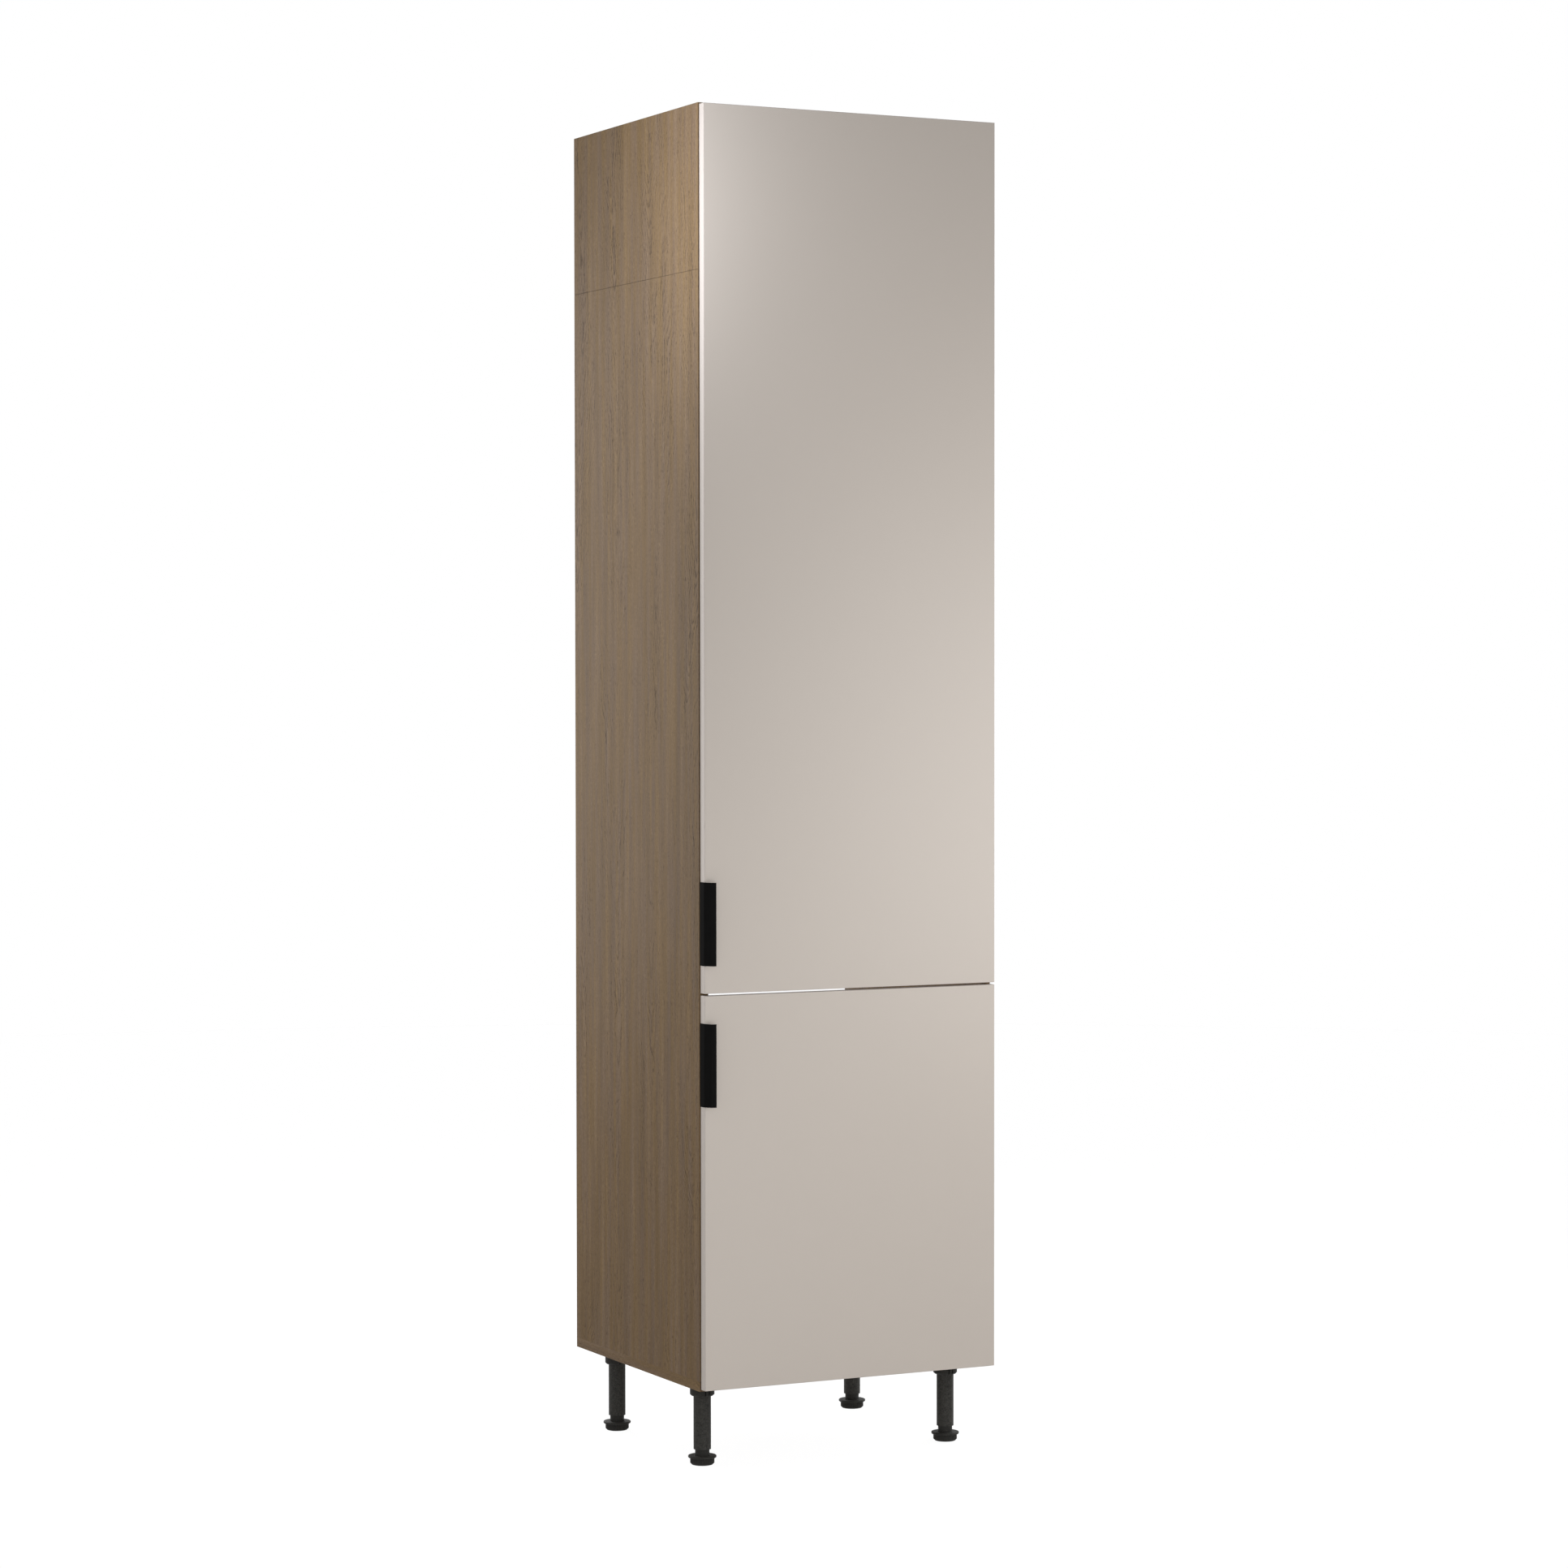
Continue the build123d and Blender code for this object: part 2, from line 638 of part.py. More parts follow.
def seam_nodes():
    """Dowels across the joint of the two-part sides, and plates let into their inner faces."""
    dowels = []
    plates = []
    screws = []
    dowel_ys = (front_y + seam_dowel_front, (front_y + back_y) / 2, back_y - seam_dowel_back)
    plate_ys = (
        front_y + fitting_front_inset + dowel_offset + seam_plate_from_dowel,
        back_panel_front - fitting_back_inset - dowel_offset - seam_plate_from_dowel,
    )
    for side in (-1, 1):
        middle = side * (side_x - board / 2)
        face = side * inner_x
        into = "+X" if side > 0 else "-X"
        for y in dowel_ys:
            dowels.append(rod((middle, y, seam_z - seam_dowel_half), "Z", 2 * seam_dowel_half, dowel_radius))
            bore_half = seam_dowel_half + blind_end
            bore = rod((middle, y, seam_z - bore_half), "Z", 2 * bore_half, dowel_radius + dowel_play)
            side_cuts[side].append(bore)
        for y in plate_ys:
            plate = seam_plate(face, side, y, 0)
            side_cuts[side].append(seam_plate(face, side, y, dowel_play))
            for step in (-seam_screws[0], -seam_screws[1], seam_screws[1], seam_screws[0]):
                at = (face, y, seam_z + step)
                plate -= rod(at, "X", side * board, board_screw_radius)
                plate -= sunk_head(at, into)
                screws.append(screw(at, into, board_screw_length, sunk=board_screw_head_height))
                side_cuts[side].append(screw_hole(at, into, board_screw_length))
            plates.append(plate)
    save("seam_dowels", *dowels)
    save("seam_plates", *plates)
    save("seam_plate_screws", *screws)


def seam_plate(face, side, y, play):
    """A plate across the joint, or with some play the pocket that it lies in."""
    half_y = seam_plate_width / 2 + play
    half_z = seam_plate_half + play
    span_x = (face, face + side * seam_plate_thickness)
    plate = block(span_x, (y - half_y, y + half_y), (seam_z - half_z, seam_z + half_z))
    return fillet(plate.edges().filter_by(Axis.X), seam_plate_width / 5)


def sunk_head(at, into):
    """The cone that a sunk screw's head fills."""
    height = board_screw_head_height
    return Pos(*at) * Rot(*INTO[into]) * Pos(0, 0, -height / 2) * Cone(board_screw_radius, board_screw_head, height)


def shelf_pin_nodes():
    """Four pins, and rows of holes for them in both sides."""
    pins = []
    for side in (-1, 1):
        for y in (pin_front_y, pin_back_y):
            for z in pin_heights:
                hole = rod((side * inner_x, y, z), "X", side * (pin_depth + blind_end), pin_radius + dowel_play)
                side_cuts[side].append(hole)
            face = (side * inner_x, y, shelf_pin_z)
            pin = rod(face, "X", side * pin_depth, pin_radius)
            pin += rod(face, "X", -side * pin_reach, pin_radius)
            collar = rod(face, "X", -side * pin_collar, pin_collar_radius)
            collar -= block((-side_x, side_x), (y - board, y + board), (shelf_under, shelf_under + board))
            pins.append(pin + collar)
    save("shelf_pins", *pins)


def side_nodes():
    """Two sides, each in two parts that meet on the joint."""
    groove_y = (back_panel_front - groove_play / 2, back_panel_rear + groove_play / 2)
    for side, name in ((-1, "left"), (1, "right")):
        span_x = (side * inner_x, side * side_x)
        groove_x = (side * (inner_x - 1), side * (inner_x + groove_depth))
        groove = block(groove_x, groove_y, (niche_roof, roof_under))
        for part, low, high in (("lower", niche_floor, seam_z), ("upper", seam_z, carcase_top)):
            panel = block(span_x, (front_y + band, back_y), (low, high))
            meeting = panel.edges().filter_by(Axis.Y).filter_by_position(Axis.Z, seam_z - 0.1, seam_z + 0.1)
            panel = chamfer(meeting, side_joint_chamfer)
            save(f"side_{name}_{part}", panel - [groove] - side_cuts[side])
            side_bands.append(block(span_x, (front_y, front_y + band), (low, high)))


side_bands = []
board_bands = []


def vent_notch(z):
    """The notch that warm air passes at the back of a board."""
    return block((-vent_width / 2, vent_width / 2), (back_y - vent_depth, back_y + band), (z - band, z + board + band))


def base_node():
    """The bottom panel. It runs out under the sides, so its ends are banded too."""
    span_z = (carcase_bottom, niche_floor)
    end_x = side_x - band
    panel = block((-end_x, end_x), (front_y + band, back_y), span_z)
    save("bottom_panel", panel - [vent_notch(carcase_bottom)] - base_cuts() - leg_nodes())
    board_bands.append(block((-end_x, end_x), (front_y, front_y + band), span_z))
    for side in (-1, 1):
        board_bands.append(block((side * end_x, side * side_x), (front_y, back_y), span_z))


def level_board(name, z, rear, back_inset, notches):
    """A board between the sides, with its cams in the top face and a band in front."""
    span_x = (-inner_x, inner_x)
    panel = block(span_x, (front_y + band, rear), (z, z + board))
    save(name, panel - level_board_cuts(z + board / 2, 1, back_inset) - notches)
    board_bands.append(block(span_x, (front_y, front_y + band), (z, z + board)))


def wall_rail(name, low):
    """A rail between the sides at the back, with two holes for the wall screws."""
    middle_y = back_y - board / 2
    middle_z = low + rail_height / 2
    rail = block((-inner_x, inner_x), (back_y - board, back_y), (low, low + rail_height))
    cuts = []
    for side in (-1, 1):
        fittings = (
            cam_fitting((side * inner_x, middle_y, middle_z), "X", -side, "Y", -1),
            dowel_fitting((side * inner_x, middle_y, middle_z + dowel_offset), "X", -side),
        )
        for in_rail, in_side in fittings:
            cuts += in_rail
            side_cuts[side] += in_side
        hole_x = side * (inner_x - wall_hole_inset)
        cuts.append(rod((hole_x, back_y - 2 * board, middle_z), "Y", 3 * board, wall_hole_radius))
    save(name, rail - cuts)


def carcase_nodes():
    base_node()
    shelf_back_inset = fitting_back_inset + back_y - back_panel_front
    level_board("appliance_shelf", niche_roof, back_panel_front, shelf_back_inset, [])
    level_board("top_panel", roof_under, back_y, fitting_back_inset, [vent_notch(roof_under)])
    wall_rail("wall_rail_lower", niche_roof)
    wall_rail("wall_rail_upper", roof_under - rail_height)

    half_back = inner_x + groove_depth - groove_play
    save("top_back_panel", block((-half_back, half_back), (back_panel_front, back_panel_rear), (niche_roof, roof_under)))

    shelf_x = (-inner_x + shelf_play, inner_x - shelf_play)
    shelf_y = (front_y + shelf_front_inset, back_panel_front - shelf_play)
    shelf_z = (shelf_under, shelf_under + board)
    save("adjustable_shelf", block(shelf_x, (shelf_y[0] + band, shelf_y[1]), shelf_z))
    board_bands.append(block(shelf_x, (shelf_y[0], shelf_y[0] + band), shelf_z))


os.makedirs("parts", exist_ok=True)
upper_hinges = hinge_heights(upper_door_bottom, upper_door_top, upper_hinge_gaps)
lower_hinges = hinge_heights(lower_door_bottom, lower_door_top, 1)
door_nodes("upper", upper_door_bottom, upper_door_top, upper_hinges, upper_door_bottom, 1)
door_nodes("lower", lower_door_bottom, lower_door_top, lower_hinges, lower_door_top, -1)
save("hinge_plate_screws", *plate_screws)
save("hinge_arm_screws", *arm_screws)
save("hinge_arm_pins", *arm_pins)
seam_nodes()
shelf_pin_nodes()
carcase_nodes()
side_nodes()
save("side_edge_bands", *side_bands)
save("board_edge_bands", *board_bands)
save("cam_discs", *cam_discs)
save("cam_bolts", *cam_bolts)
save("corner_dowels", *corner_dowels)
print("hinge heights", upper_hinges, lower_hinges)
print("front, back, door front", front_y, back_y, door_front_y)
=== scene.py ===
"""Fridge housing cabinet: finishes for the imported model, a white studio and the camera.

Metres, in the model's own frame: +X is to the right seen from the front, +Y to the wall, +Z up, and the
origin is on the floor. Colours are linear. A sheen is the shader's specular level.
"""

import math

import bmesh
import bpy
from mathutils import Matrix, Vector


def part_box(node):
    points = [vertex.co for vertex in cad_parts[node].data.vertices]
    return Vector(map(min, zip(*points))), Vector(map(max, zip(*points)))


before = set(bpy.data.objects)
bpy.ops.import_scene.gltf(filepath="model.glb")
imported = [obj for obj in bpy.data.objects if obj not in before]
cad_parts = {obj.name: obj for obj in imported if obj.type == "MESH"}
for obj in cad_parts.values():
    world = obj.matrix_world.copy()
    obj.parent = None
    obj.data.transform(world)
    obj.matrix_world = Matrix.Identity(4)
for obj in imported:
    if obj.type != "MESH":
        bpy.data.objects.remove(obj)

bl_info = {
    "name": "Fridge Housing Cabinet",
    "version": (1, 0, 0),
    "blender": (4, 5, 0),
    "location": "3D View > Sidebar > Cabinet",
    "description": "Finishes and a white studio for a tall kitchen cabinet",
    "category": "Object",
}

LEGS = ("front_left", "front_right", "back_left", "back_right")
DOORS = ("upper", "lower")
SIDE_PARTS = ("left_lower", "left_upper", "right_lower", "right_upper")

OAK_SHEEN = 0.05
FRONT_SHEEN = 0.40
EDGING_SHEEN = 0.3
PULL_SHEEN = 0.0015
LEG_SHEEN = 0.12

# Depths of the reliefs
CHIP_DEPTH = 0.0003
FRONT_DEPTH = 0.00003
DRAWN_DEPTH = 0.00002
LEG_DEPTH = 0.00025
CAST_DEPTH = 0.00010
BEECH_DEPTH = 0.00006
GEL_DEPTH = 0.00004
PAPER_DEPTH = 0.00005

FACE_SHIFT = 23.0  # how far the oak print moves for each metre of depth, so that no two faces are alike
FACING = 0.6  # a face counts as facing an axis when its normal reaches this far along it
JOINT_REACH = (0.0010, 0.0003)  # half widths at which the joint's line fades out and is full
JOINT_STRENGTH = 0.36
JOINT_SHADE = 0.7
CUT_ROUGHENING = 0.25
CHIPS_PER_METRE = 420.0

# The sockets and feet are darker than the barrels: partly a darker plastic of their own, partly painted
# shade of the recesses where they meet the barrels.
MOULDED_TONE_AND_PAINTED_SHADE = 0.72  # the sockets and feet against the barrels
MOULDED_GRAIN = 0.5
DUST_HEIGHT = 0.010

FLOOR_RADIUS = 9.0
FLOOR_SIDES = 96
PAPER_CLEARNESS = 0.88  # share of the paper that the camera looks through
PAPER_GLOW = 0.085
WHITE = (1.0, 1.0, 1.0, 1.0)
PAPER_WHITE = (0.90, 0.90, 0.90, 1.0)
PLAIN = (1.0, 1.0, 1.0)
COOL = (0.96, 1.0, 1.07)

# Name, place, where it points, width and height, whose power it takes, its share of that, and its colour
LAMPS = (
    ("corner_lamp", (-0.745, -0.445, 2.29), (-0.372, -0.15, 2.526), (0.25, 0.45), "corner_power", 1.0, COOL),
    ("front_lamp", (0.927, -1.438, 1.285), (0.777, -0.438, 1.685), (0.9, 1.1), "front_power", 1.0, PLAIN),
    ("low_lamp", (-0.253, -1.786, 0.42), (0.0, -0.27, 0.6), (1.6, 1.5), "low_power", 1.0, PLAIN),
    ("left_lamp", (-1.032, 0.139, 1.36), (-0.3, 0.0, 1.25), (1.2, 1.6), "left_power", 1.0, PLAIN),
    ("right_lamp", (2.6, 0.4, 1.5), (0.3, 0.1, 1.2), (1.5, 2.0), "rear_power", 1.6, PLAIN),
    ("rear_lamp", (-0.4, 2.9, 1.6), (0.0, 0.25, 1.2), (1.5, 2.0), "rear_power", 2.0, PLAIN),
)

SENSOR_WIDTH = 36.0  # millimetres
CAMERA_REACH = 100.0
CAMERA_PLACE = (-3.3857, -6.73845, 1.4434)
CAMERA_TURN = 26.6802  # degrees, here and in the next two
CAMERA_DIP = 1.5746
CAMERA_ROLL = -0.0621


# Shader maths


class Wire:
    """An output of one of the nodes. Python's operators on it add Math nodes, which work on numbers."""

    def __init__(self, nodes, socket):
        self.nodes = nodes
        self.socket = socket

    def maths(self, operation, *values):
        """What a Math node makes of these values."""
        return self.nodes.node("ShaderNodeMath", {"operation": operation}, dict(enumerate(values)))

    def __add__(self, other):
        return self.maths("ADD", self, other)

    __radd__ = __add__

    def __mul__(self, other):
        return self.maths("MULTIPLY", self, other)

    __rmul__ = __mul__

    def __sub__(self, other):
        return self.maths("SUBTRACT", self, other)

    def __rsub__(self, other):
        return self.maths("SUBTRACT", other, self)

    def __truediv__(self, other):
        return self.maths("DIVIDE", self, other)

    def __rtruediv__(self, other):
        return self.maths("DIVIDE", other, self)

    def __pow__(self, other):
        return self.maths("POWER", self, other)

    def __rpow__(self, other):
        return self.maths("POWER", other, self)

    def __abs__(self):
        return self.maths("ABSOLUTE", self)

    def __gt__(self, other):
        return self.maths("GREATER_THAN", self, other)

    def __lt__(self, other):
        return self.maths("LESS_THAN", self, other)


class Nodes:
    """The nodes of one material or world."""

    def __init__(self, owner):
        owner.use_nodes = True
        self.tree = owner.node_tree
        self.tree.nodes.clear()

    def node(self, kind, settings, sockets, output=0):
        """Any node, given by one of its outputs.

        Its settings are set first, and then each socket gets its value or its link.
        """
        made = self.tree.nodes.new(kind)
        for key, value in settings.items():
            if key == "stops":
                lay_stops(made.color_ramp, value)
            else:
                setattr(made, key, value)
        for key, value in sockets.items():
            if isinstance(value, Wire):
                self.tree.links.new(value.socket, made.inputs[key])
            elif value is not None:
                made.inputs[key].default_value = value
        return Wire(self, made.outputs[output]) if made.outputs else None

    def ray(self, *kinds):
        """1 for the kinds of ray that are named, such as Camera, and 0 for the rest."""
        found = 0.0
        for kind in kinds:
            here = self.node("ShaderNodeLightPath", {}, {}, f"Is {kind} Ray")
            found = self.node("ShaderNodeMath", {"operation": "MAXIMUM"}, {0: here, 1: found})
        return found


class Finish(Nodes):
    """A material's nodes. Constants sit on the shader's own sockets; what varies is joined to them."""

    def __init__(self, name, **constants):
        self.material = bpy.data.materials.new(name)
        super().__init__(self.material)
        self.shader = self.node("ShaderNodeBsdfPrincipled", {}, constants)
        self.show(self.shader)
        self.parts = {}

    def show(self, shader):
        """Make a shader what the surface shows."""
        self.node("ShaderNodeOutputMaterial", {"is_active_output": True}, {"Surface": shader})

    def feed(self, **wires):
        """Join what varies over the surface to the shader. A socket's name has _ for its spaces."""
        for name, wire in wires.items():
            self.tree.links.new(wire.socket, self.shader.socket.node.inputs[name.replace("_", " ")])

    def place(self, axis):
        """The point's X, Y or Z in the model's frame."""
        return self.axis_of("Object", axis)

    def facing(self, axis):
        """The surface's true normal along X, Y or Z."""
        return self.axis_of("Normal", axis)

    def axis_of(self, output, axis):
        """One axis of a texture coordinate, which is taken apart once for the whole finish."""
        if output not in self.parts:
            source = self.node("ShaderNodeTexCoord", {}, {}, output)
            self.parts[output] = self.node("ShaderNodeSeparateXYZ", {}, {0: source}).socket.node
        return Wire(self, self.parts[output].outputs[axis])

    def point(self, x, y, z):
        """A point from three numbers, each of which may vary."""
        return self.node("ShaderNodeCombineXYZ", {}, {"X": x, "Y": y, "Z": z})

    def spot(self):
        """The point's place in the model's frame."""
        return self.point(*[self.place(axis) for axis in "XYZ"])

    def noise(self, point, scale, detail=2.0, roughness=0.5):
        """Noise from 0 to 1 about 0.5. The scale is the number of patches in each unit of the point."""
        sockets = {"Vector": point, "Scale": scale, "Detail": detail, "Roughness": roughness}
        return self.node("ShaderNodeTexNoise", {}, sockets)

    def step(self, value, low, high):
        """A smooth rise from 0 to 1 as the value goes from low to high."""
        sockets = {"Value": value, "From Min": low, "From Max": high}
        return self.node("ShaderNodeMapRange", {"interpolation_type": "SMOOTHSTEP"}, sockets)

    def colour(self, value, stops):
        """The colour that a number has between stops, each a number and its colour."""
        return self.node("ShaderNodeValToRGB", {"stops": stops}, {"Fac": value})

    def mix(self, factor, first, second, blend="MIX"):
        """The first colour at a factor of 0 and the second at 1. They are the node's sockets 6 and 7."""
        settings = {"data_type": "RGBA", "blend_type": blend}
        return self.node("ShaderNodeMix", settings, {0: factor, 6: first, 7: second}, 2)

    def shade(self, colour, amount):
        """The colour times a number that may vary."""
        grey = self.node("ShaderNodeCombineColor", {}, {0: amount, 1: amount, 2: amount})
        return self.mix(1.0, colour, grey, "MULTIPLY")

    def bump(self, height, depth, under=None):
        """A relief whose full height is a depth in metres."""
        return self.node("ShaderNodeBump", {}, {"Height": height, "Distance": depth, "Normal": under})


def lay_stops(ramp, stops):
    """Give a colour ramp these stops and no others."""
    while len(ramp.elements) > 1:
        ramp.elements.remove(ramp.elements[-1])
    ramp.elements[0].position = stops[0][0]
    ramp.elements[0].color = stops[0][1]
    for position, colour in stops[1:]:
        ramp.elements.new(position).color = colour


def opaque(colour, amount=1.0):
    """A colour of three numbers, times an amount, as the four that a socket takes."""
    return (*[channel * amount for channel in colour], 1.0)


def dress(nodes, material):
    """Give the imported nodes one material."""
    for name in nodes:
        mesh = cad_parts[name].data
        mesh.materials.clear()
        mesh.materials.append(material)
        for face in mesh.polygons:
            face.material_index = 0


# Finishes


class Grain:
    """Where a point lies on a face of the print, along and across the grain, in metres."""

    def __init__(self, finish, along, across, depth):
        self.finish = finish
        self.along = along
        self.across = across
        self.face = depth * FACE_SHIFT

    def scatter(self, on_across, on_along, detail=2.0, roughness=0.5):
        """Noise from -0.5 to 0.5, with so many patches per metre across and along the grain."""
        spot = self.finish.point(self.across * on_across + self.face, self.face, self.along * on_along)
        return self.finish.noise(spot, 1.0, detail, roughness) - 0.5


def growth_rings(grain, choice):
    """Rings that stand as narrow arches over wandering heart lines, with near-straight grain between.

    Gives how far a point is from the nearest heart line, how far through its ring it is, from 0 to 1,
    and a number from -0.5 to 0.5 that belongs to the ring.
    """
    finish, scatter = grain.finish, grain.scatter
    drift = scatter(2.6, 0.9) * 0.26 + scatter(14.0, 7.0, 3.0) * 0.026
    sockets = {0: grain.across + grain.face + drift, 1: choice.heart_spacing / 2}
    from_heart = finish.node("ShaderNodeMath", {"operation": "PINGPONG"}, sockets)
    arch = (from_heart * from_heart + choice.arch_round * choice.arch_round) ** 0.5
    lean = grain.along * choice.lean + scatter(5.0, 2.6, 4.0, 0.62) * 0.085
    waver = scatter(90.0, 22.0, 3.0, 0.65) * 0.0060
    rings = (arch - lean + waver) / choice.ring_width
    phase = finish.node("ShaderNodeMath", {"operation": "FRACT"}, {0: rings})
    count = finish.node("ShaderNodeMath", {"operation": "FLOOR"}, {0: rings})
    year = finish.node("ShaderNodeTexWhiteNoise", {"noise_dimensions": "1D"}, {"W": count}) - 0.5
    return from_heart, phase, year


def early_wood(grain, from_heart, phase, choice):
    """The darker part of each ring, from 0 to 1. It fades between the arches, and in patches."""
    finish = grain.finish
    half = choice.heart_spacing / 2
    valley = finish.step(from_heart, half * 0.45, half * 0.95)
    patches = finish.step(grain.scatter(9.0, 2.2), -0.10, 0.12)
    rise, fall = finish.step(phase, 0.30, 0.80), finish.step(phase, 0.88, 1.0)
    return rise * (1.0 - fall) * (1.0 - valley * 0.7) * (0.35 + patches * 0.65)


def oak_print(finish, along, across, depth, choice):
    """Colour, roughness and relief of an oak print whose grain runs one way.

    Short dark pores gather in the early wood of each growth ring, with pale glints between them.
    """
    grain = Grain(finish, along, across, depth)
    scatter = grain.scatter
    from_heart, phase, year = growth_rings(grain, choice)
    early = early_wood(grain, from_heart, phase, choice)

    pores = scatter(560.0, 105.0, 3.0, 0.6) + 0.5 + scatter(120.0, 15.0) * 0.35
    flecks = finish.step(pores + early * 0.13 + year * 0.06, 0.60, 0.72)
    glints = finish.step(0.5 - scatter(480.0, 130.0, 3.0, 0.65) + scatter(60.0, 5.0) * 0.4, 0.57, 0.70)
    fibre = scatter(420.0, 26.0, 3.0, 0.65)
    streak = scatter(46.0, 1.7, 3.0, 0.6)
    cloud = scatter(3.0, 0.9)
    specks = scatter(500.0, 170.0)

    tone = 0.43 + streak * choice.streaks + fibre * 0.6 + cloud * 0.4 + glints * 0.22 + specks * 0.7
    tone = tone - (early - 0.3) * (0.18 + year * 0.24)
    stops = [
        (0.10, opaque(choice.oak_dark)),
        (0.50, opaque(choice.oak_middle)),
        (0.90, opaque(choice.oak_light)),
    ]
    gilding = finish.step(scatter(60.0, 2.6, 3.0, 0.55), -0.16, 0.16)
    cool_cast, gold_cast = opaque((0.975, 1.0, 1.13)), opaque((1.03, 1.0, 0.85))
    cast = finish.mix(gilding, cool_cast, gold_cast)
    wood = finish.mix(1.0, finish.colour(tone, stops), cast, "MULTIPLY")

    surface = finish.mix(flecks * choice.pore_strength, wood, opaque(choice.oak_pore))
    roughness = choice.oak_roughness + flecks * 0.12 + fibre * 0.08
    relief = finish.bump(flecks * -0.6 + (fibre + 0.5) * 0.4, choice.pore_depth)
    return surface, roughness, relief


def chipboard(finish):
    """The raw cut edge of a board: pale chips pressed flat in a darker glue."""
    spot = finish.spot()
    cells = {"Vector": spot, "Scale": CHIPS_PER_METRE}
    chips = finish.node("ShaderNodeTexVoronoi", {}, cells, "Color")
    shade = finish.node("ShaderNodeSeparateColor", {}, {0: chips})
    edge = finish.node("ShaderNodeTexVoronoi", {"feature": "DISTANCE_TO_EDGE"}, cells)
    fine = finish.noise(spot, 1600.0)
    stops = [
        (0.0, (0.21, 0.135, 0.072, 1.0)),
        (0.55, (0.42, 0.30, 0.175, 1.0)),
        (1.0, (0.60, 0.46, 0.30, 1.0)),
    ]
    tone = shade * 0.75 + fine * 0.35 - 0.1
    relief = finish.step(edge, 0.0, 0.25) * 0.6 + fine * 0.4
    return finish.colour(tone, stops), relief


def oak_board(name, along, across, depth, choice, joint=None):
    """Wood-effect laminate on a board's two faces, and the raw core where the board is cut.

    A joint is where two boards meet end to end along the grain: the laminate's edge shows as a fine line.
    """
    finish = Finish(name, **{"Specular IOR Level": OAK_SHEEN})
    spots = [finish.place(axis) for axis in (along, across, depth)]
    surface, roughness, relief = oak_print(finish, *spots, choice)
    core, chips = chipboard(finish)
    cut = abs(finish.facing(depth)) < FACING
    if joint is not None:
        line = finish.step(abs(finish.place(along) - joint), *JOINT_REACH)
        surface = finish.mix(line * JOINT_STRENGTH, surface, opaque(choice.oak_pore, JOINT_SHADE))
    finish.feed(
        Base_Color=finish.mix(cut, surface, core),
        Roughness=roughness + cut * CUT_ROUGHENING,
        Normal=finish.bump(chips * cut, CHIP_DEPTH, relief),
    )
    return finish.material


def oak_band(name, choice, ends_along_y):
    """The same print on the edge bands, running up the sides' bands or along the boards'.

    Of the boards' bands, those on the ends run along Y and the others along X.
    """
    finish = Finish(name, **{"Specular IOR Level": OAK_SHEEN})
    x, y, z = [finish.place(axis) for axis in "XYZ"]
    if ends_along_y:
        end = abs(finish.facing("X")) > FACING
        spots = (x + (y - x) * end, z, y + (x - y) * end)
    else:
        spots = (z, x, y)
    surface, roughness, relief = oak_print(finish, *spots, choice)
    finish.feed(Base_Color=surface, Roughness=roughness, Normal=relief)
    return finish.material


def front_laminate(name, colour, sheen, choice):
    """A smooth matt laminate with a very fine grain and a soft sheen."""
    finish = Finish(name, **{"Specular IOR Level": sheen})
    spot = finish.spot()
    cloud = finish.noise(spot, 3.0, 3.0) - 0.5
    fine = finish.noise(spot, 2600.0, 2.0, 0.6)
    dimple = finish.noise(spot, 260.0)
    finish.feed(
        Base_Color=finish.shade(opaque(colour), 1.0 + cloud * 0.03 + (fine - 0.5) * 0.02),
        Roughness=choice.front_roughness + (dimple - 0.5) * 0.06 + cloud * 0.05,
        Normal=finish.bump(fine * 0.6 + dimple * 0.4, FRONT_DEPTH),
    )
    return finish.material


def pull_finish(choice):
    """Black anodised aluminium: fine lines drawn along the profile, and faint clouds."""
    finish = Finish("black_pull", **{"Specular IOR Level": PULL_SHEEN})
    x, y, z = [finish.place(axis) for axis in "XYZ"]
    drawn = finish.noise(finish.point(x * 2400.0, y * 2400.0, z * 9.0), 1.0)
    cloud = finish.noise(finish.spot(), 60.0, 3.0) - 0.5
    finish.feed(
        Base_Color=finish.shade(opaque(choice.pull_colour), 1.0 + (drawn - 0.5) * 0.6 + cloud * 0.3),
        Roughness=0.40 + (drawn - 0.5) * 0.16 + cloud * 0.12,
        Normal=finish.bump(drawn, DRAWN_DEPTH),
    )
    return finish.material


def black_screw_finish():
    """Black passivated steel, rubbed bright in small places."""
    finish = Finish("black_screw", Metallic=1.0)
    spot = finish.spot()
    grain = finish.noise(spot, 1500.0, 3.0)
    rub = finish.step(finish.noise(spot, 500.0), 0.60, 0.75)
    black, bright = (0.03, 0.03, 0.032, 1.0), (0.22, 0.21, 0.20, 1.0)
    finish.feed(
        Base_Color=finish.mix(rub * 0.5, black, bright),
        Roughness=0.38 + grain * 0.2,
        Normal=finish.bump(grain, DRAWN_DEPTH),
    )
    return finish.material


def leg_plastic(name, colour, grain):
    """Moulded black plastic with a spark-eroded grain, and dust near the floor."""
    finish = Finish(name, **{"Specular IOR Level": LEG_SHEEN})
    spot = finish.spot()
    pits = finish.noise(spot, 520.0, 3.0, 0.7)
    cloud = finish.noise(spot, 150.0, 3.0, 0.6) - 0.5
    near_floor = finish.step(finish.place("Z"), DUST_HEIGHT, 0.0)
    dust = near_floor * finish.step(finish.noise(spot, 160.0, 3.0), 0.45, 0.70)
    body = finish.shade(opaque(colour), 1.0 + (pits - 0.5) * 2.8 * grain + cloud * 1.1 * grain)
    dust_colour = (0.20, 0.19, 0.175, 1.0)
    finish.feed(
        Base_Color=finish.mix(dust * 0.10, body, dust_colour),
        Roughness=0.60 + (pits - 0.5) * 0.25 + dust * 0.2,
        Normal=finish.bump(pits, LEG_DEPTH * grain),
    )
    return finish.material


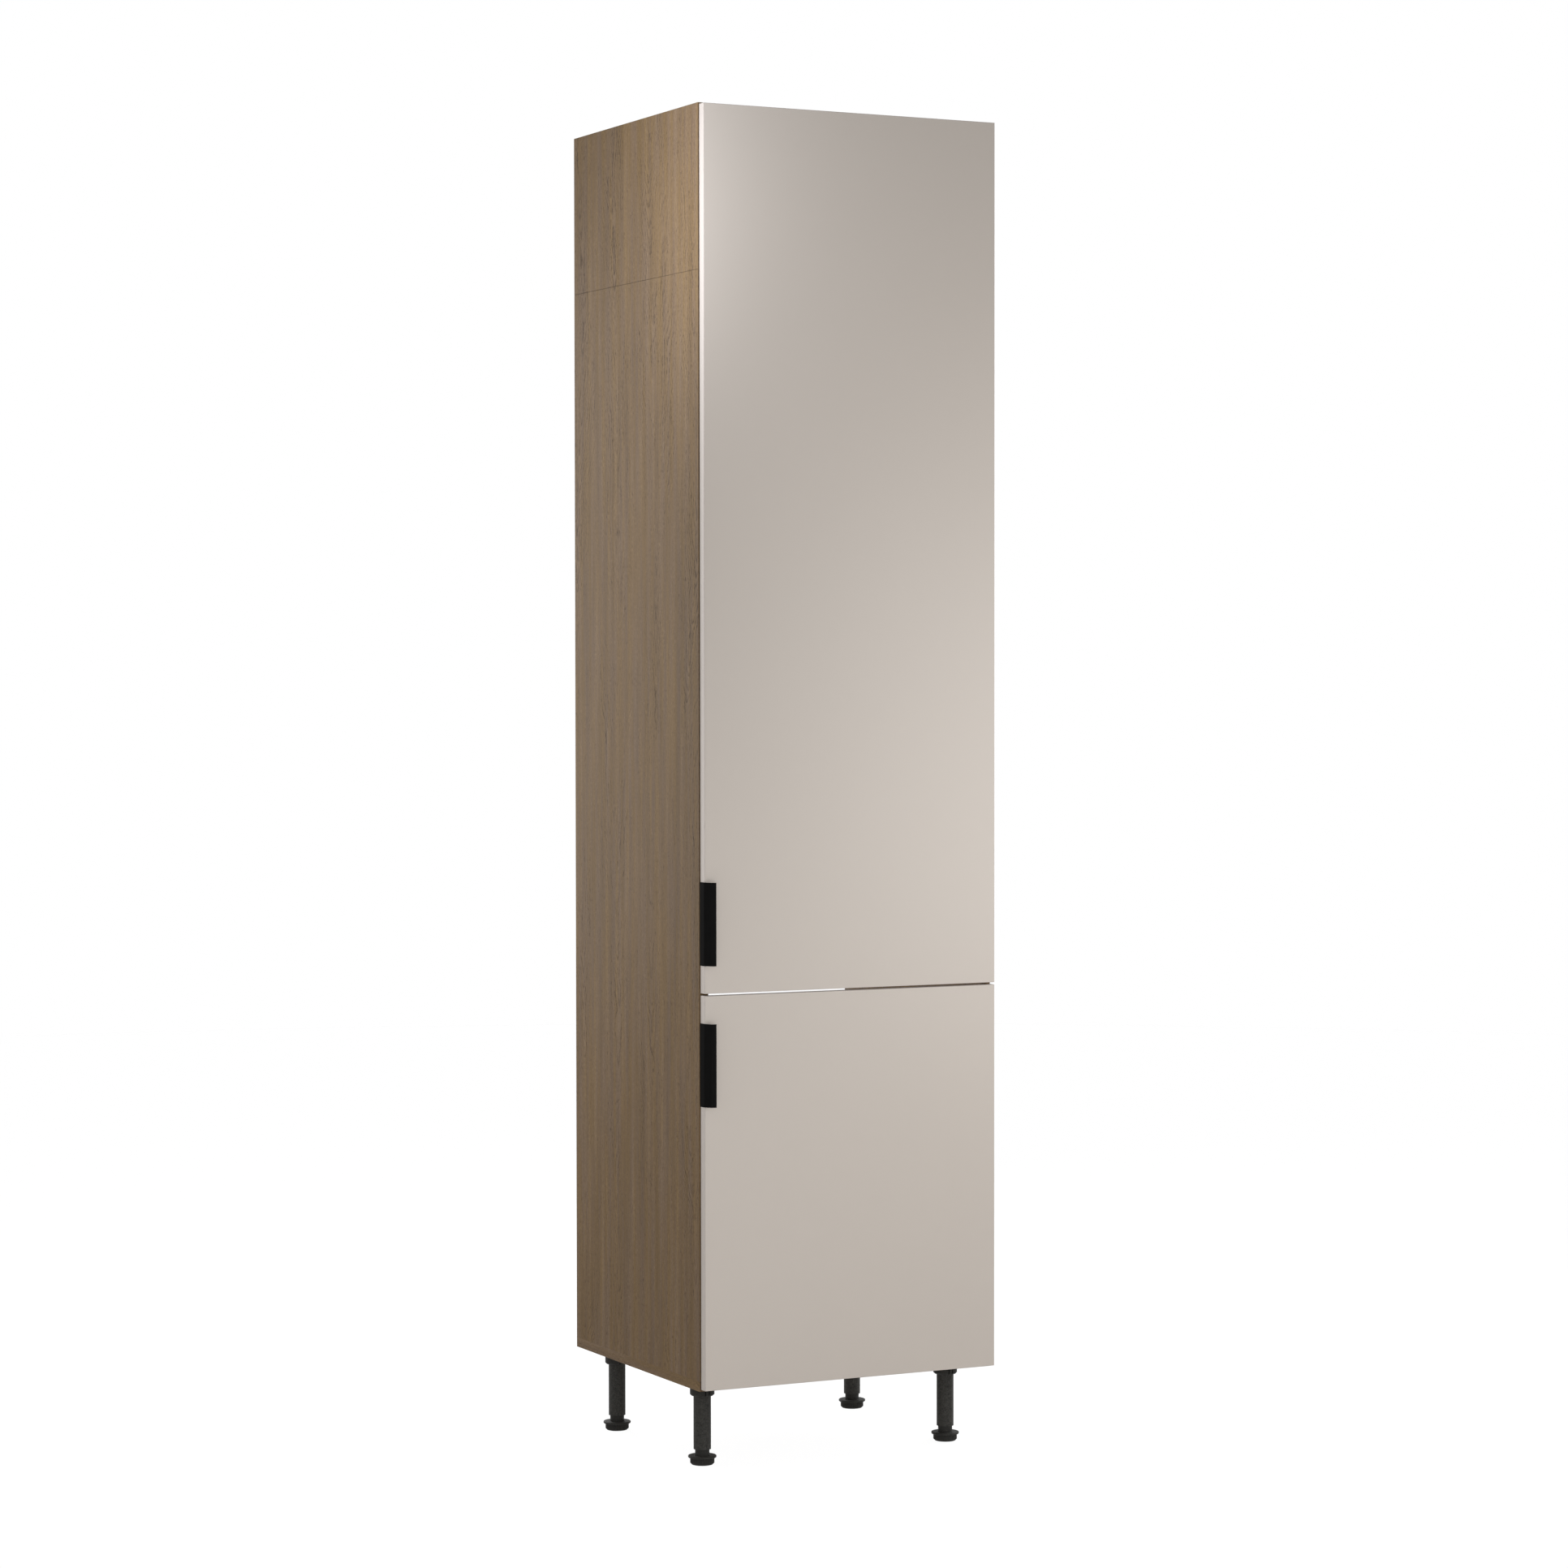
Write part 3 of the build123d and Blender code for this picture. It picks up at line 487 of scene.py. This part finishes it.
def plated_steel(name, colour, roughness, along, fineness=1.0):
    """Plated pressed steel: soft rolling lines one way, faint blotches and small handling marks."""
    finish = Finish(name, Metallic=1.0)
    stretch = {axis: 700.0 * fineness for axis in "XYZ"}
    stretch[along] = 40.0 * fineness
    lines = finish.noise(finish.point(*[finish.place(axis) * stretch[axis] for axis in "XYZ"]), 1.0)
    spot = finish.spot()
    cloud = finish.noise(spot, 90.0, 3.0) - 0.5
    marks = finish.step(finish.noise(spot, 650.0), 0.66, 0.74)
    finish.feed(
        Base_Color=finish.shade(opaque(colour), 1.0 + cloud * 0.22 - marks * 0.10),
        Roughness=roughness + (lines - 0.5) * 0.14 + cloud * 0.10 + marks * 0.12,
        Normal=finish.bump(lines, DRAWN_DEPTH),
    )
    return finish.material


def cast_zinc():
    """Bare zinc alloy with the skin of its mould."""
    finish = Finish("zinc_cam", Metallic=1.0)
    spot = finish.spot()
    skin = finish.noise(spot, 700.0, 4.0, 0.6)
    cloud = finish.noise(spot, 160.0)
    dull, bright = (0.30, 0.30, 0.31, 1.0), (0.52, 0.52, 0.53, 1.0)
    finish.feed(
        Base_Color=finish.mix(cloud, dull, bright),
        Roughness=0.42 + skin * 0.22,
        Normal=finish.bump(skin, CAST_DEPTH),
    )
    return finish.material


def beech():
    """Plain beech with fine flecks along the dowel."""
    finish = Finish("beech_dowel", Roughness=0.6)
    x, y, z = [finish.place(axis) for axis in "XYZ"]
    flecks = finish.noise(finish.point(x * 180.0, y * 900.0, z * 900.0), 1.0)
    tone = finish.noise(finish.spot(), 40.0) * 0.6 + flecks * 0.4
    stops = [(0.3, (0.50, 0.32, 0.17, 1.0)), (0.7, (0.66, 0.47, 0.29, 1.0))]
    finish.feed(
        Base_Color=finish.colour(tone, stops),
        Normal=finish.bump(flecks, BEECH_DEPTH),
    )
    return finish.material


def bumper_gel():
    """Soft clear pads that have caught a little dust."""
    finish = Finish("clear_bumper", IOR=1.45, **{"Subsurface Weight": 0.35, "Subsurface Scale": 0.002})
    spot = finish.spot()
    dust = finish.step(finish.noise(spot, 700.0, 3.0), 0.55, 0.72)
    clean, dusty = (0.74, 0.74, 0.72, 1.0), (0.42, 0.41, 0.39, 1.0)
    finish.feed(
        Base_Color=finish.mix(dust * 0.4, clean, dusty),
        Roughness=0.22 + dust * 0.35,
        Normal=finish.bump(finish.noise(spot, 300.0), GEL_DEPTH),
    )
    return finish.material


# Sizes and colours that a user may change


class OakPrint(bpy.types.PropertyGroup):
    """The wood-effect print of the carcase."""

    oak_light: bpy.props.FloatVectorProperty(
        name="Light",
        description="Lightest streaks of the print",
        subtype="COLOR",
        default=(0.231, 0.157, 0.089),
    )
    oak_middle: bpy.props.FloatVectorProperty(
        name="Middle",
        description="Ground colour of the print",
        subtype="COLOR",
        default=(0.165, 0.108, 0.059),
    )
    oak_dark: bpy.props.FloatVectorProperty(
        name="Dark",
        description="Darkest streaks of the print",
        subtype="COLOR",
        default=(0.113, 0.075, 0.043),
    )
    oak_pore: bpy.props.FloatVectorProperty(
        name="Pore",
        description="Short dark lines of the print",
        subtype="COLOR",
        default=(0.055, 0.038, 0.026),
    )
    oak_roughness: bpy.props.FloatProperty(
        name="Roughness",
        description="How matt the print is",
        subtype="FACTOR",
        default=0.56,
        min=0.0,
        max=1.0,
    )
    heart_spacing: bpy.props.FloatProperty(
        name="Heart spacing",
        description="Distance between two columns of arches",
        default=0.17,
        unit="LENGTH",
    )
    arch_round: bpy.props.FloatProperty(
        name="Arch round",
        description="Radius at the top of an arch",
        default=0.011,
        unit="LENGTH",
    )
    ring_width: bpy.props.FloatProperty(
        name="Ring width",
        description="Distance between two growth rings",
        default=0.0068,
        unit="LENGTH",
    )
    lean: bpy.props.FloatProperty(
        name="Lean",
        description="How steeply the rings run through the face, as a slope",
        default=0.13,
    )
    streaks: bpy.props.FloatProperty(
        name="Streaks",
        description="Strength of the long light and dark streaks",
        default=0.9,
        min=0.0,
    )
    pore_strength: bpy.props.FloatProperty(
        name="Pores",
        description="Strength of the dark pores",
        subtype="FACTOR",
        default=0.6,
        min=0.0,
        max=1.0,
    )
    pore_depth: bpy.props.FloatProperty(
        name="Pore depth",
        description="Depth of the embossed pores",
        default=0.00007,
        unit="LENGTH",
    )


class FrontFinish(bpy.types.PropertyGroup):
    """The matt laminate of the doors."""

    front_colour: bpy.props.FloatVectorProperty(
        name="Front",
        description="Colour of the doors' faces",
        subtype="COLOR",
        default=(0.515, 0.462, 0.413),
    )
    edging_colour: bpy.props.FloatVectorProperty(
        name="Edging",
        description="Colour of the doors' edge bands",
        subtype="COLOR",
        default=(0.475, 0.424, 0.384),
    )
    front_roughness: bpy.props.FloatProperty(
        name="Roughness",
        description="How matt the doors are",
        subtype="FACTOR",
        default=0.42,
        min=0.0,
        max=1.0,
    )


class HardwareFinish(bpy.types.PropertyGroup):
    """Colours of the pulls, legs and hinges."""

    pull_colour: bpy.props.FloatVectorProperty(
        name="Pull",
        description="Colour of the edge pulls",
        subtype="COLOR",
        default=(0.0080, 0.0078, 0.0077),
    )
    leg_colour: bpy.props.FloatVectorProperty(
        name="Leg",
        description="Colour of the plinth legs",
        subtype="COLOR",
        default=(0.0375, 0.0362, 0.0328),
    )
    nickel_colour: bpy.props.FloatVectorProperty(
        name="Nickel",
        description="Plating of the hinges",
        subtype="COLOR",
        default=(0.62, 0.60, 0.57),
    )
    zinc_colour: bpy.props.FloatVectorProperty(
        name="Zinc",
        description="Plating of the screws and plates",
        subtype="COLOR",
        default=(0.58, 0.59, 0.61),
    )


class StudioLight(bpy.types.PropertyGroup):
    """The lamps and the camera."""

    room_light: bpy.props.FloatProperty(
        name="Room light",
        description="Even light from all round, where 1 is white",
        default=0.36,
        min=0.0,
    )
    corner_power: bpy.props.FloatProperty(
        name="Corner lamp",
        description="Small lamp by the upper left corner",
        subtype="POWER",
        default=5.1,
    )
    front_power: bpy.props.FloatProperty(
        name="Front lamp",
        description="Lamp in front of the right edge",
        subtype="POWER",
        default=10.5,
    )
    low_power: bpy.props.FloatProperty(
        name="Low lamp",
        description="Lamp low in front of the doors",
        subtype="POWER",
        default=11.0,
    )
    left_power: bpy.props.FloatProperty(
        name="Left lamp",
        description="Lamp beside the left side",
        subtype="POWER",
        default=5.2,
    )
    rear_power: bpy.props.FloatProperty(
        name="Rear lamps",
        description="Lamps beside the right side and behind",
        subtype="POWER",
        default=30.0,
    )
    lens: bpy.props.FloatProperty(
        name="Lens",
        description="Focal length for a picture 36 mm wide",
        unit="CAMERA",
        default=91.83,
    )


CHOICES = {
    "cabinet_oak": OakPrint,
    "cabinet_fronts": FrontFinish,
    "cabinet_hardware": HardwareFinish,
    "cabinet_studio": StudioLight,
}


# Operators


class CABINET_OT_boards(bpy.types.Operator):
    """Cover the sides, panels, shelves and rails with the wood-effect print"""

    bl_idname = "cabinet.boards"
    bl_label = "Boards"

    def execute(self, context):
        choice = context.scene.cabinet_oak
        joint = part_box("side_left_upper")[0][2]
        sides = oak_board("oak_side", "Z", "Y", "X", choice, joint)
        dress([f"side_{part}" for part in SIDE_PARTS], sides)
        level = oak_board("oak_level", "X", "Y", "Z", choice)
        dress(["bottom_panel", "appliance_shelf", "top_panel", "adjustable_shelf"], level)
        dress(["top_back_panel"], oak_board("oak_back", "Z", "X", "Y", choice))
        dress(["wall_rail_lower", "wall_rail_upper"], oak_board("oak_rail", "X", "Z", "Y", choice))
        return {"FINISHED"}


class CABINET_OT_bands(bpy.types.Operator):
    """Cover the edge bands of the carcase with the same print"""

    bl_idname = "cabinet.bands"
    bl_label = "Edge bands"

    def execute(self, context):
        choice = context.scene.cabinet_oak
        dress(["side_edge_bands"], oak_band("oak_side_band", choice, False))
        dress(["board_edge_bands"], oak_band("oak_board_band", choice, True))
        return {"FINISHED"}


class CABINET_OT_fronts(bpy.types.Operator):
    """Finish the doors and their edging"""

    bl_idname = "cabinet.fronts"
    bl_label = "Doors"

    def execute(self, context):
        choice = context.scene.cabinet_fronts
        front = front_laminate("greige_front", choice.front_colour, FRONT_SHEEN, choice)
        dress([f"{door}_door" for door in DOORS], front)
        edging = front_laminate("greige_edging", choice.edging_colour, EDGING_SHEEN, choice)
        dress([f"{door}_door_edging" for door in DOORS], edging)
        dress([f"{door}_door_bumpers" for door in DOORS], bumper_gel())
        return {"FINISHED"}


class CABINET_OT_pulls(bpy.types.Operator):
    """Finish the edge pulls and their screws"""

    bl_idname = "cabinet.pulls"
    bl_label = "Edge pulls"

    def execute(self, context):
        dress([f"{door}_handle" for door in DOORS], pull_finish(context.scene.cabinet_hardware))
        dress([f"{door}_handle_screws" for door in DOORS], black_screw_finish())
        return {"FINISHED"}


class CABINET_OT_legs(bpy.types.Operator):
    """Finish the plinth legs"""

    bl_idname = "cabinet.legs"
    bl_label = "Plinth legs"

    def execute(self, context):
        choice = context.scene.cabinet_hardware
        barrel = leg_plastic("leg_barrel_plastic", choice.leg_colour, 1.0)
        dress([f"leg_barrel_{leg}" for leg in LEGS], barrel)
        # A darker copy of the leg colour for the sockets and feet, partly their own darker plastic and
        # partly painted shade of the recesses at the barrels' ends.
        moulded_colour_and_painted_shade = [channel * MOULDED_TONE_AND_PAINTED_SHADE for channel in choice.leg_colour]
        moulded = leg_plastic("leg_end_plastic", moulded_colour_and_painted_shade, MOULDED_GRAIN)
        dress([f"{part}_{leg}" for part in ("leg_socket", "foot") for leg in LEGS], moulded)
        return {"FINISHED"}


class CABINET_OT_hinges(bpy.types.Operator):
    """Finish the hinges, their pins and their screws"""

    bl_idname = "cabinet.hinges"
    bl_label = "Hinges"

    def execute(self, context):
        choice = context.scene.cabinet_hardware
        nickel = plated_steel("nickel_hinge", choice.nickel_colour, 0.26, "Y")
        kinds = ("hinge_plates", "hinge_arms", "hinge_cups", "outer_links", "inner_links")
        dress([f"{door}_{kind}" for door in DOORS for kind in kinds], nickel)
        pin = plated_steel("steel_pin", (0.55, 0.55, 0.56), 0.16, "Z")
        dress(["hinge_arm_pins", "upper_cup_pins", "lower_cup_pins"], pin)
        zinc = plated_steel("zinc_screw", choice.zinc_colour, 0.30, "Y", 2.0)
        dress(["hinge_plate_screws", "hinge_arm_screws", "upper_cup_screws", "lower_cup_screws"], zinc)
        return {"FINISHED"}


class CABINET_OT_fittings(bpy.types.Operator):
    """Finish the cams, bolts, dowels, plates and shelf pins"""

    bl_idname = "cabinet.fittings"
    bl_label = "Fittings"

    def execute(self, context):
        choice = context.scene.cabinet_hardware
        zinc = plated_steel("zinc_fixing", choice.zinc_colour, 0.32, "Z")
        dress(["seam_plates", "seam_plate_screws", "shelf_pins", "cam_bolts"], zinc)
        dress(["cam_discs"], cast_zinc())
        dress(["corner_dowels", "seam_dowels"], beech())
        return {"FINISHED"}


# Stage


def lamp(name, place, target, size, power, colour):
    """A soft box that lights the object and isn't seen itself."""
    light = bpy.data.lights.new(name, "AREA")
    light.color = colour
    light.shape = "RECTANGLE"
    light.size, light.size_y = size
    light.energy = power
    holder = bpy.data.objects.new(name, light)
    bpy.context.scene.collection.objects.link(holder)
    holder.visible_camera = False
    holder.location = place
    holder.rotation_euler = (Vector(target) - Vector(place)).to_track_quat("-Z", "Y").to_euler()


def paper_floor():
    """Pale paper that shows nearly white to the camera and still takes the object's shadow.

    The camera looks through most of it, so that a foot screwed out below its rest height still shows.
    """
    finish = Finish("studio_paper", Roughness=0.9)
    tooth = finish.noise(finish.spot(), 900.0)
    finish.feed(
        Base_Color=finish.shade(PAPER_WHITE, 1.0 + (tooth - 0.5) * 0.02),
        Normal=finish.bump(tooth, PAPER_DEPTH),
    )
    clear = finish.node("ShaderNodeBsdfTransparent", {}, {})
    glow = finish.node("ShaderNodeEmission", {}, {"Color": WHITE, "Strength": PAPER_GLOW})
    seen = finish.node("ShaderNodeAddShader", {}, {0: clear, 1: glow})
    share = finish.ray("Camera", "Glossy") * PAPER_CLEARNESS
    finish.show(finish.node("ShaderNodeMixShader", {}, {0: share, 1: finish.shader, 2: seen}))
    return finish.material


def studio_world(strength):
    """White to the camera and in reflections, and an even light on the object."""
    world = bpy.data.worlds.new("studio")
    bpy.context.scene.world = world
    nodes = Nodes(world)
    lit = nodes.node("ShaderNodeBackground", {}, {"Color": WHITE, "Strength": strength})
    shown = nodes.node("ShaderNodeBackground", {}, {"Color": WHITE, "Strength": 1.0})
    seen = nodes.ray("Camera", "Glossy", "Transmission")
    mixed = nodes.node("ShaderNodeMixShader", {}, {0: seen, 1: lit, 2: shown})
    nodes.node("ShaderNodeOutputWorld", {}, {"Surface": mixed})


def lay_floor():
    """A round sheet of paper under the cabinet."""
    mesh = bpy.data.meshes.new("studio_floor")
    shape = bmesh.new()
    bmesh.ops.create_circle(shape, cap_ends=True, segments=FLOOR_SIDES, radius=FLOOR_RADIUS)
    shape.to_mesh(mesh)
    shape.free()
    floor = bpy.data.objects.new("studio_floor", mesh)
    bpy.context.scene.collection.objects.link(floor)
    mesh.materials.append(paper_floor())


def set_camera(lens):
    """Stand the camera where the photograph was taken from."""
    camera = bpy.data.cameras.new("camera")
    camera.sensor_width = SENSOR_WIDTH
    camera.sensor_fit = "HORIZONTAL"
    camera.lens = lens
    camera.clip_end = CAMERA_REACH
    holder = bpy.data.objects.new("camera", camera)
    bpy.context.scene.collection.objects.link(holder)
    turn = Matrix.Rotation(math.radians(-CAMERA_TURN), 4, "Z")
    dip = Matrix.Rotation(math.radians(90.0 - CAMERA_DIP), 4, "X")
    roll = Matrix.Rotation(math.radians(CAMERA_ROLL), 4, "Z")
    holder.matrix_world = Matrix.Translation(CAMERA_PLACE) @ turn @ dip @ roll
    bpy.context.scene.camera = holder


class CABINET_OT_stage(bpy.types.Operator):
    """Lay the floor, hang the lamps and set the camera"""

    bl_idname = "cabinet.stage"
    bl_label = "Stage"

    def execute(self, context):
        choice = context.scene.cabinet_studio
        lay_floor()
        studio_world(choice.room_light)
        for name, place, target, size, power, share, colour in LAMPS:
            lamp(name, place, target, size, getattr(choice, power) * share, colour)
        set_camera(choice.lens)
        context.scene.view_settings.view_transform = "Standard"
        return {"FINISHED"}


# Panel, registration and the run itself


STEPS = (
    CABINET_OT_boards,
    CABINET_OT_bands,
    CABINET_OT_fronts,
    CABINET_OT_pulls,
    CABINET_OT_legs,
    CABINET_OT_hinges,
    CABINET_OT_fittings,
    CABINET_OT_stage,
)


class CABINET_PT_steps(bpy.types.Panel):
    """Lists what makes the cabinet, and its sizes and colours"""

    bl_idname = "CABINET_PT_steps"
    bl_label = "Fridge Housing Cabinet"
    bl_space_type = "VIEW_3D"
    bl_region_type = "UI"
    bl_category = "Cabinet"

    def draw(self, context):
        layout = self.layout
        for step in STEPS:
            layout.operator(step.bl_idname)
        for name in CHOICES:
            group = getattr(context.scene, name)
            box = layout.box()
            for key in group.bl_rna.properties.keys():
                if key not in ("rna_type", "name"):
                    box.prop(group, key)


def register():
    for group in CHOICES.values():
        bpy.utils.register_class(group)
    for name, group in CHOICES.items():
        setattr(bpy.types.Scene, name, bpy.props.PointerProperty(type=group))
    for step in (*STEPS, CABINET_PT_steps):
        bpy.utils.register_class(step)


def unregister():
    for step in reversed((*STEPS, CABINET_PT_steps)):
        bpy.utils.unregister_class(step)
    for name, group in CHOICES.items():
        delattr(bpy.types.Scene, name)
        bpy.utils.unregister_class(group)


def main():
    register()
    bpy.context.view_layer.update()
    for step in STEPS:
        group, name = step.bl_idname.split(".")
        getattr(getattr(bpy.ops, group), name)()


if __name__ == "__main__":
    main()
